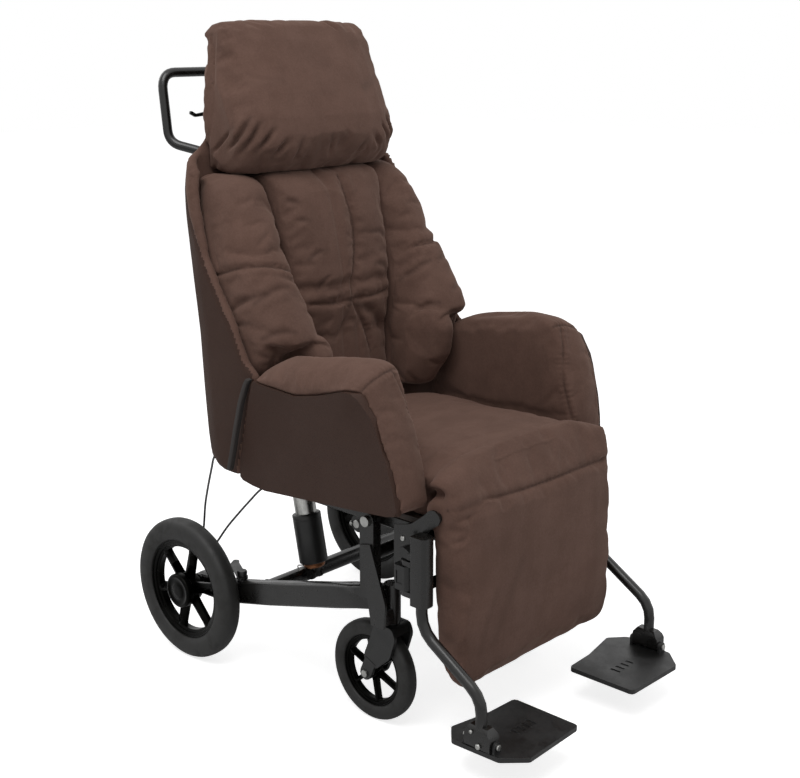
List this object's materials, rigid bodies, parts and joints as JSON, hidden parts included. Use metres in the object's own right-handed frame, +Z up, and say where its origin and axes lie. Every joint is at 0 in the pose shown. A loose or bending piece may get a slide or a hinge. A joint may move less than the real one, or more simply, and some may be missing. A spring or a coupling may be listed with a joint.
{
  "type": "indoor wheelchair",
  "caption": "Padded shell chair on an attendant-pushed wheeled chassis, with tilt, recline, a swinging calf pad and flip-up footplates.",
  "frame": {"origin": "on the floor, under the middle of the chair's length and width", "axes": "+Z up; -Y is the way the chair faces; +X is the sitter's left"},
  "size_m": [0.6638, 1.0159, 1.304],
  "materials": {
    "painted": "satin",
    "moulded": "satin",
    "tyre": "matte",
    "zinc": "satin",
    "copper": "satin",
    "board": "matte",
    "microfibre": "matte",
    "vinyl": "satin",
    "cable": "satin"
  },
  "bodies": {
    "chassis": {"base_frame": "painted", "rear_axle_left": "zinc", "rear_axle_right": "zinc", "tilt_bolt_left": "zinc", "tilt_bolt_right": "zinc"},
    "strut_lower": {"tilt_strut_sleeve": "painted", "tilt_strut_collar": "copper", "tilt_strut_clip": "zinc"},
    "strut_upper": {"tilt_strut_tube": "zinc"},
    "seat": {"seat_frame": "painted", "seat_board": "board", "seat_cushion": "microfibre", "arm_pad_left": "microfibre", "arm_pad_right": "microfibre", "arm_panel_left": "vinyl", "arm_panel_right": "vinyl", "hanger_receiver_left": "moulded", "hanger_receiver_right": "moulded", "release_cable": "cable"},
    "spring_lower": {"recline_spring_body": "painted"},
    "spring_upper": {"recline_spring_rod": "zinc"},
    "back": {"back_frame": "painted", "back_shell": "vinyl", "back_centre_cushion": "microfibre", "back_bolster_left": "microfibre", "back_bolster_right": "microfibre", "headrest": "microfibre", "push_bar": "painted", "release_bracket_left": "painted", "release_bracket_right": "painted"},
    "leg_rest": {"calf_frame": "painted", "calf_board": "board", "calf_pad": "microfibre"},
    "rear_wheel_left": {"rear_tyre_left": "tyre", "rear_rim_left": "moulded", "rear_hub_cap_left": "moulded"},
    "caster_left": {"caster_fork_left": "moulded", "caster_axle_left": "zinc"},
    "caster_wheel_left": {"caster_tyre_left": "tyre", "caster_rim_left": "moulded"},
    "brake_left": {"brake_lever_left": "moulded"},
    "release_left": {"release_lever_left": "moulded"},
    "hanger_left": {"hanger_left": "painted", "footplate_pin_left": "zinc"},
    "latch_left": {"hanger_latch_left": "moulded"},
    "footplate_left": {"footplate_left": "moulded"},
    "rear_wheel_right": {"rear_tyre_right": "tyre", "rear_rim_right": "moulded", "rear_hub_cap_right": "moulded"},
    "caster_right": {"caster_fork_right": "moulded", "caster_axle_right": "zinc"},
    "caster_wheel_right": {"caster_tyre_right": "tyre", "caster_rim_right": "moulded"},
    "brake_right": {"brake_lever_right": "moulded"},
    "release_right": {"release_lever_right": "moulded"},
    "hanger_right": {"hanger_right": "painted", "footplate_pin_right": "zinc"},
    "latch_right": {"hanger_latch_right": "moulded"},
    "footplate_right": {"footplate_right": "moulded"}
  },
  "joints": [
    {"name": "seat_tilt", "type": "hinge", "parent": "chassis", "child": "seat", "pos_m": [0, -0.132, 0.4145], "axis": [-1, 0, 0], "range_deg": [0, 15]},
    {"name": "tilt_strut_swing", "type": "hinge", "parent": "chassis", "child": "strut_lower", "pos_m": [-0.12, 0.139, 0.194], "axis": [-1, 0, 0], "range_deg": [0, 3]},
    {"name": "tilt_strut_slide", "type": "slide", "parent": "strut_lower", "child": "strut_upper", "axis": [0, 0.1995, 0.9799], "range_m": [-0.083, 0]},
    {"name": "back_recline", "type": "hinge", "parent": "seat", "child": "back", "pos_m": [0, 0.158, 0.455], "axis": [-1, 0, 0], "range_deg": [0, 35], "deforming": ["release_cable"]},
    {"name": "recline_spring_swing", "type": "hinge", "parent": "seat", "child": "spring_lower", "pos_m": [0.11, -0.092, 0.382], "axis": [-1, 0, 0], "range_deg": [0, 8]},
    {"name": "recline_spring_slide", "type": "slide", "parent": "spring_lower", "child": "spring_upper", "axis": [0, 1, 0], "range_m": [-0.0545, 0]},
    {"name": "leg_rest_swing", "type": "hinge", "parent": "seat", "child": "leg_rest", "pos_m": [0, -0.297, 0.462], "axis": [-1, 0, 0], "range_deg": [0, 75]},
    {"name": "rear_wheel_left_spin", "type": "hinge", "parent": "chassis", "child": "rear_wheel_left", "pos_m": [0.281, 0.358, 0.15], "axis": [1, 0, 0], "continuous": true},
    {"name": "caster_left_swivel", "type": "hinge", "parent": "chassis", "child": "caster_left", "pos_m": [0.21, -0.162, 0.2125], "axis": [0, 0, 1], "continuous": true},
    {"name": "caster_wheel_left_spin", "type": "hinge", "parent": "caster_left", "child": "caster_wheel_left", "pos_m": [0.21, -0.116, 0.1], "axis": [1, 0, 0], "continuous": true},
    {"name": "brake_left_turn", "type": "hinge", "parent": "chassis", "child": "brake_left", "pos_m": [0.243, 0.228, 0.196], "axis": [0, 0, 1], "range_deg": [0, 30]},
    {"name": "release_lever_left_lift", "type": "hinge", "parent": "back", "child": "release_left", "pos_m": [0.158, 0.3753, 1.121], "axis": [1, 0, 0], "range_deg": [0, 15], "stiffness_Nm_per_rad": 0.5},
    {"name": "hanger_left_swing", "type": "hinge", "parent": "seat", "child": "hanger_left", "pos_m": [0.265, -0.249, 0.322], "axis": [0, 0, 1], "range_deg": [0, 90]},
    {"name": "hanger_latch_left_lift", "type": "hinge", "parent": "hanger_left", "child": "latch_left", "pos_m": [0.265, -0.2635, 0.39], "axis": [1, 0, 0], "range_deg": [0, 25], "stiffness_Nm_per_rad": 0.2},
    {"name": "footplate_left_flip", "type": "hinge", "parent": "hanger_left", "child": "footplate_left", "pos_m": [0.2625, -0.4235, 0.0885], "axis": [0, 1, 0], "range_deg": [0, 90]},
    {"name": "rear_wheel_right_spin", "type": "hinge", "parent": "chassis", "child": "rear_wheel_right", "pos_m": [-0.281, 0.358, 0.15], "axis": [1, 0, 0], "continuous": true},
    {"name": "caster_right_swivel", "type": "hinge", "parent": "chassis", "child": "caster_right", "pos_m": [-0.21, -0.162, 0.2125], "axis": [0, 0, 1], "continuous": true},
    {"name": "caster_wheel_right_spin", "type": "hinge", "parent": "caster_right", "child": "caster_wheel_right", "pos_m": [-0.21, -0.116, 0.1], "axis": [1, 0, 0], "continuous": true},
    {"name": "brake_right_turn", "type": "hinge", "parent": "chassis", "child": "brake_right", "pos_m": [-0.243, 0.228, 0.196], "axis": [0, 0, -1], "range_deg": [0, 30]},
    {"name": "release_lever_right_lift", "type": "hinge", "parent": "back", "child": "release_right", "pos_m": [-0.158, 0.3753, 1.121], "axis": [1, 0, 0], "range_deg": [0, 15], "stiffness_Nm_per_rad": 0.5},
    {"name": "hanger_right_swing", "type": "hinge", "parent": "seat", "child": "hanger_right", "pos_m": [-0.265, -0.249, 0.322], "axis": [0, 0, -1], "range_deg": [0, 90]},
    {"name": "hanger_latch_right_lift", "type": "hinge", "parent": "hanger_right", "child": "latch_right", "pos_m": [-0.265, -0.2635, 0.39], "axis": [1, 0, 0], "range_deg": [0, 25], "stiffness_Nm_per_rad": 0.2},
    {"name": "footplate_right_flip", "type": "hinge", "parent": "hanger_right", "child": "footplate_right", "pos_m": [-0.2625, -0.4235, 0.0885], "axis": [0, -1, 0], "range_deg": [0, 90]}
  ],
  "couplings": [
    {"joint": "tilt_strut_swing", "follows": "seat_tilt", "ratio": 0.185},
    {"joint": "tilt_strut_slide", "follows": "seat_tilt", "m_per_rad": -0.313},
    {"joint": "recline_spring_swing", "follows": "back_recline", "ratio": 0.22},
    {"joint": "recline_spring_slide", "follows": "back_recline", "m_per_rad": -0.08797}
  ]
}
